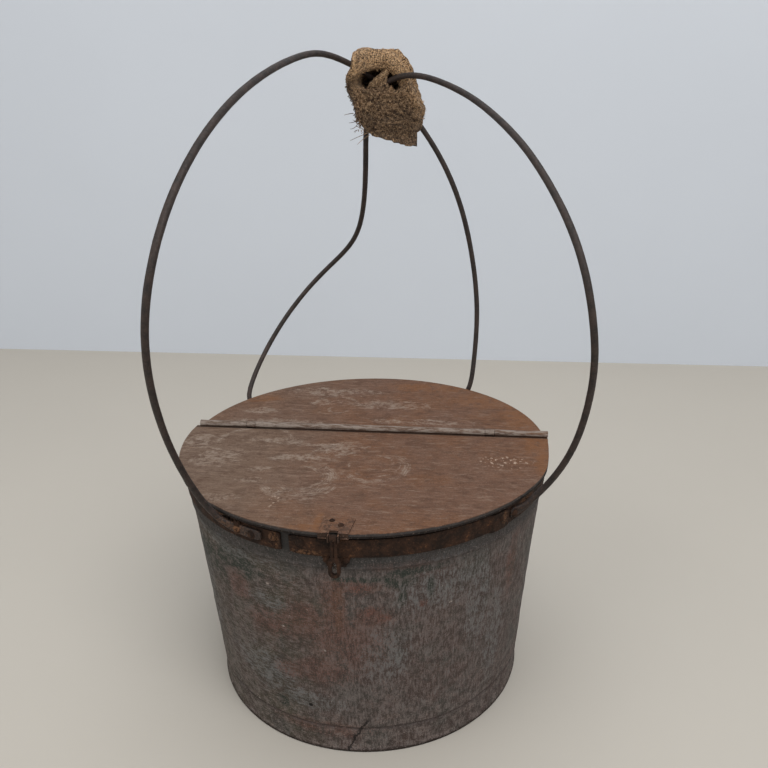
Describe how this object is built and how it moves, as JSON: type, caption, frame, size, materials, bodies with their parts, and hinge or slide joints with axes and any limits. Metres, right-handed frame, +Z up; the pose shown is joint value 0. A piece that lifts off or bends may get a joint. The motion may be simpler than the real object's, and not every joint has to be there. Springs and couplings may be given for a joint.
{
  "type": "rusty metal bucket",
  "caption": "Rusted sheet-metal bucket with a riveted band, half-opening lid with hasp, and crossed wire handles bound with burlap",
  "frame": {"origin": "on the bucket's axis at the floor (mount base_centre)", "axes": "+Z up, -Y towards the hasp, +X to the right seen from the hasp; the lid's hinge lies along X"},
  "size_m": [0.4158, 0.4943, 0.6703],
  "materials": {
    "galvanised": "worn blue-grey coating over rust-brown sheet, matt and streaked",
    "rusty_steel": "dark brown rust with orange patches",
    "lid_paint": "brown oxide with worn pale scuffs",
    "dark_wire": "near-black rusted wire",
    "bright_wire": "worn bright wire",
    "burlap": "coarse tan hessian, frayed"
  },
  "bodies": {
    "bucket": {"bucket_wall": "galvanised", "bottom_plate": "galvanised", "front_strap": "rusty_steel", "rear_strap": "rusty_steel", "strap_rivets": "rusty_steel", "back_plate": "lid_paint", "hinge_wire": "dark_wire", "staple_plate": "rusty_steel", "staple_plate_rivets": "rusty_steel", "staple": "bright_wire", "handle_rod_left": "dark_wire", "handle_rod_right": "dark_wire", "left_foot_rivets": "rusty_steel", "right_foot_rivets": "rusty_steel", "burlap_wrap": "burlap"},
    "lid": {"lid_flap": "lid_paint", "hasp_plate": "rusty_steel", "hasp_rivets": "rusty_steel", "hasp_pin": "dark_wire"},
    "hasp": {"hasp_loop": "dark_wire"}
  },
  "joints": [
    {"name": "lid_hinge", "type": "hinge", "parent": "bucket", "child": "lid", "pos_m": [0, 0.02, 0.2728], "axis": [-1, 0, 0], "range_deg": [0, 150]},
    {"name": "hasp_hinge", "type": "hinge", "parent": "lid", "child": "hasp", "pos_m": [0, -0.2025, 0.2665], "axis": [-1, 0, 0], "range_deg": [-11, 200]}
  ]
}
